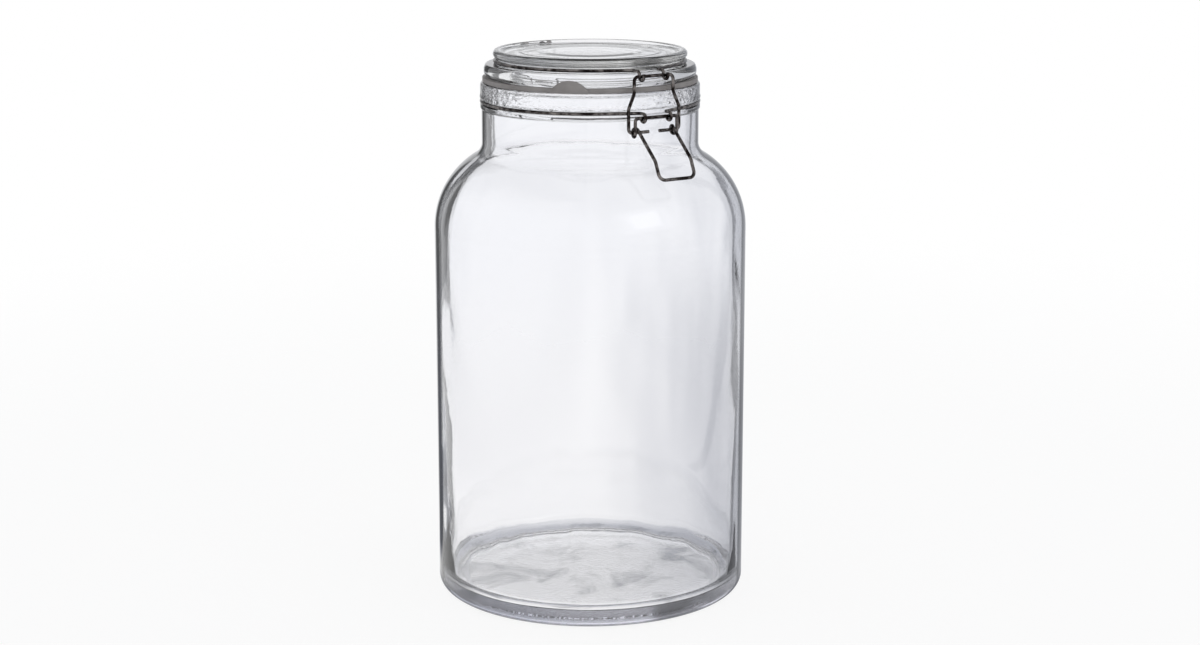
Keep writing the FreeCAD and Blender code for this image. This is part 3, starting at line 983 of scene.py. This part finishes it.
@dataclass
class Studio:
    """Pale sweep, a soft room for light and reflections, and two soft boxes.

    The room's greyer side and flag, and the floor's shades, are seen only in reflections and
    through glass. The camera sees plain white.
    """

    floor_radius: float = 1.3
    floor_drop: float = 0.0002
    floor_fade: Pair = (0.35, 1.15)
    floor_colour: str = "f8f8f9"
    white_share: float = 0.88
    # How the room's light falls off overhead, and to one side.
    ceiling_level: float = 0.62
    ceiling_span: Pair = (0.45, 0.9)
    side_level: float = 0.68
    side_way: Triple = (0.93, 0.367, 0.0)
    side_span: Pair = (0.78, 0.99)
    # The narrow flag behind the jar, which runs on over the floor beyond the foot.
    flag_level: float = 0.22
    flag_way: Triple = (0.092, 0.996, 0.0)
    flag_span: Pair = (0.9816, 0.9925)
    flag_top: Pair = (0.35, 0.6)
    flag_foot: Triple = (-0.068, 0.043, 0.0)
    flag_beyond: Pair = (0.10, 0.13)
    # The floor's greyer zone, across the jar, and the shade round its foot.
    across: Triple = (0.845, -0.534, 0.0)
    floor_side_level: float = 0.52
    floor_far_level: float = 0.9
    floor_side_stops: Stops = (0.035, 0.12, 0.27, 0.42)
    foot_shade: float = 0.55
    foot_shade_stops: Stops = (0.0785, 0.0805, 0.0870, 0.0920)
    lit_colour: str = "fafbfd"
    side_colour: str = "cdd4ea"
    soft_boxes: tuple[SoftBox, ...] = (
        SoftBox("window soft box", (0.30, -1.39, 0.95), (0.95, 0.80), 0.75),
        SoftBox("window middle", (0.29, -1.37, 0.94), (0.55, 0.50), 0.5),
    )

    def flag(self, tree: Tree, way: Socket, share: Socket) -> Socket:
        """Stand a narrow grey flag behind the jar, which draws its outlines.

        Args:
            tree: The node tree that gets the nodes.
            way: A direction or a place seen from the jar.
            share: How much of the flag counts there, from 0 to 1.

        Returns:
            A level that is 1 all round and lower on the flag.
        """
        straight = add_node(tree, "ShaderNodeVectorMath", {0: flat(tree, way)},
                            operation="NORMALIZE").outputs[0]
        on_flag = remap(tree, dot(tree, straight, self.flag_way), self.flag_span, soft=True)
        return remap(tree, product(tree, on_flag, share), to=(1.0, self.flag_level))

    def room(self) -> None:
        """Make the world: greyer overhead and to one side, with a flag, and white to the eye."""
        world = bpy.data.worlds.new("soft room")
        bpy.context.scene.world = world
        world.use_nodes = True
        tree = world.node_tree
        tree.nodes.clear()
        output = add_node(tree, "ShaderNodeOutputWorld")
        way = add_node(tree, "ShaderNodeTexCoord").outputs["Generated"]
        height = height_of(tree, way)
        ceiling = remap(tree, height, self.ceiling_span, (1.0, self.ceiling_level), soft=True)
        side = remap(tree, dot(tree, way, self.side_way), self.side_span,
                     (1.0, self.side_level), soft=True)
        tint = mixed(tree, side, linear(self.side_colour), linear(self.lit_colour))
        low = remap(tree, height, self.flag_top, (1.0, 0.0))
        sides = product(tree, side, self.flag(tree, way, low))
        soft = add_node(tree, "ShaderNodeBackground", {
            "Color": tint, "Strength": product(tree, ceiling, sides)})
        white = add_node(tree, "ShaderNodeBackground", {"Color": WHITE, "Strength": 1.0})
        path = add_node(tree, "ShaderNodeLightPath")
        both = add_node(tree, "ShaderNodeMixShader", {
            0: path.outputs["Is Camera Ray"], 1: soft.outputs[0], 2: white.outputs[0]})
        tree.links.new(both.outputs[0], output.inputs["Surface"])

    def floor_level(self, tree: Tree, place: Socket, away: Socket) -> Socket:
        """Shade the floor as glass and metal see it.

        Args:
            tree: The node tree that gets the nodes.
            place: The place on the floor.
            away: How far that is from the jar's axis.

        Returns:
            A level that is 1 on the plain floor and lower in its shades.
        """
        side = grey(self.floor_side_level)
        greyer = ramp(tree, dot(tree, place, self.across), list(zip(
            self.floor_side_stops, (WHITE, side, side, grey(self.floor_far_level)))), "B_SPLINE")
        from_foot = add_node(tree, "ShaderNodeVectorMath", {
            0: place, 1: self.flag_foot}, operation="SUBTRACT").outputs[0]
        beyond = remap(tree, away, self.flag_beyond)
        shade = grey(self.foot_shade)
        under = ramp(tree, away, list(zip(
            self.foot_shade_stops, (WHITE, shade, shade, WHITE))))
        sides = product(tree, greyer, self.flag(tree, from_foot, beyond))
        return product(tree, sides, under)

    def sweep(self) -> None:
        """Make the pale floor, which fades into the white behind it."""
        bpy.ops.object.select_all(action="DESELECT")
        bpy.ops.mesh.primitive_circle_add(
            vertices=96, radius=self.floor_radius, fill_type="NGON",
            location=(0, 0, -self.floor_drop))
        floor = bpy.context.object
        floor.name = "pale_sweep"
        bpy.ops.object.transform_apply(location=True)
        material, tree, output = new_material("matt white paper sweep")
        place = add_node(tree, "ShaderNodeTexCoord").outputs["Object"]
        away = add_node(tree, "ShaderNodeVectorMath", {0: place},
                        operation="LENGTH").outputs["Value"]
        path = add_node(tree, "ShaderNodeLightPath")
        in_glass = larger(tree, path.outputs["Is Glossy Ray"],
                          path.outputs["Is Transmission Ray"])
        level = add_node(tree, "ShaderNodeMix", {
            "Factor": in_glass, 2: 1.0, 3: self.floor_level(tree, place, away)}).outputs[0]
        tint = mixed(tree, level, linear(self.side_colour), WHITE)
        white = add_node(tree, "ShaderNodeEmission", {"Color": tint, "Strength": level})
        paper = add_node(tree, "ShaderNodeBsdfDiffuse", {"Color": linear(self.floor_colour)})
        # Seen directly or through glass, most of the floor's colour is its own and a part is
        # lit paper, which keeps the shadow.
        seen = larger(tree, path.outputs["Is Camera Ray"], in_glass)
        glow = add_node(tree, "ShaderNodeMixShader", {
            0: product(tree, seen, self.white_share), 1: paper.outputs[0],
            2: white.outputs[0]})
        clear = add_node(tree, "ShaderNodeBsdfTransparent")
        edge = add_node(tree, "ShaderNodeMixShader", {
            0: remap(tree, away, self.floor_fade, soft=True), 1: glow.outputs[0],
            2: clear.outputs[0]})
        tree.links.new(edge.outputs[0], output.inputs["Surface"])
        floor.data.materials.append(material)

    def build(self) -> None:
        """Set up the room, the sweep and the lamps."""
        self.room()
        self.sweep()
        for soft_box in self.soft_boxes:
            soft_box.build()


@dataclass
class Viewpoint:
    """The camera: a little above the lid, to the left of the clip.

    Place in metres, angles in degrees, lens and sensor in millimetres.
    """

    distance: float = 1.296
    height: float = 0.4387
    azimuth: float = -32.28
    yaw: float = 0.237
    pitch: float = 12.617
    lens: float = 72.09
    sensor: float = 36.0

    def build(self) -> None:
        """Place the camera and make it the scene's own."""
        lens = bpy.data.cameras.new("viewpoint")
        lens.lens = self.lens
        lens.sensor_width = self.sensor
        camera = bpy.data.objects.new("viewpoint", lens)
        bpy.context.scene.collection.objects.link(camera)
        stand = math.radians(self.azimuth)
        camera.location = (self.distance * math.sin(stand), -self.distance * math.cos(stand),
                           self.height)
        look, down = math.radians(-self.azimuth + self.yaw), math.radians(self.pitch)
        ahead = Vector((math.sin(look) * math.cos(down), math.cos(look) * math.cos(down),
                        -math.sin(down)))
        camera.rotation_euler = ahead.to_track_quat("-Z", "Y").to_euler()
        bpy.context.scene.camera = camera


def main() -> None:
    """Build the pieces in order, then the studio and the camera."""
    logging.basicConfig(level=logging.INFO, format="%(name)s: %(message)s")
    bpy.context.scene.view_settings.view_transform = "Standard"
    blown = SodaLimeGlass(GlassMaking.BLOWN, underside_top_mm=2.6)
    # The lid's painted dark edge is fainter and greyer than the jar's.
    pressed = SodaLimeGlass(
        GlassMaking.PRESSED, wave_mm=22.0, wave_depth_mm=0.15, ripple_mm=4.0,
        ripple_depth_mm=0.022, painted_edge_from=0.88, painted_edge_to=0.99, painted_edge_colour="7c7c80",
        absorb_colour="dcdcd8", absorb_density=10.0)
    BlownJar().build(blown.make())
    PressedLid().build(pressed.make())
    SealRing().build(SealRubber().make())
    ClipWires().build(DrawnSteel().make())
    Studio().build()
    Viewpoint().build()


if __name__ == "__main__":
    main()
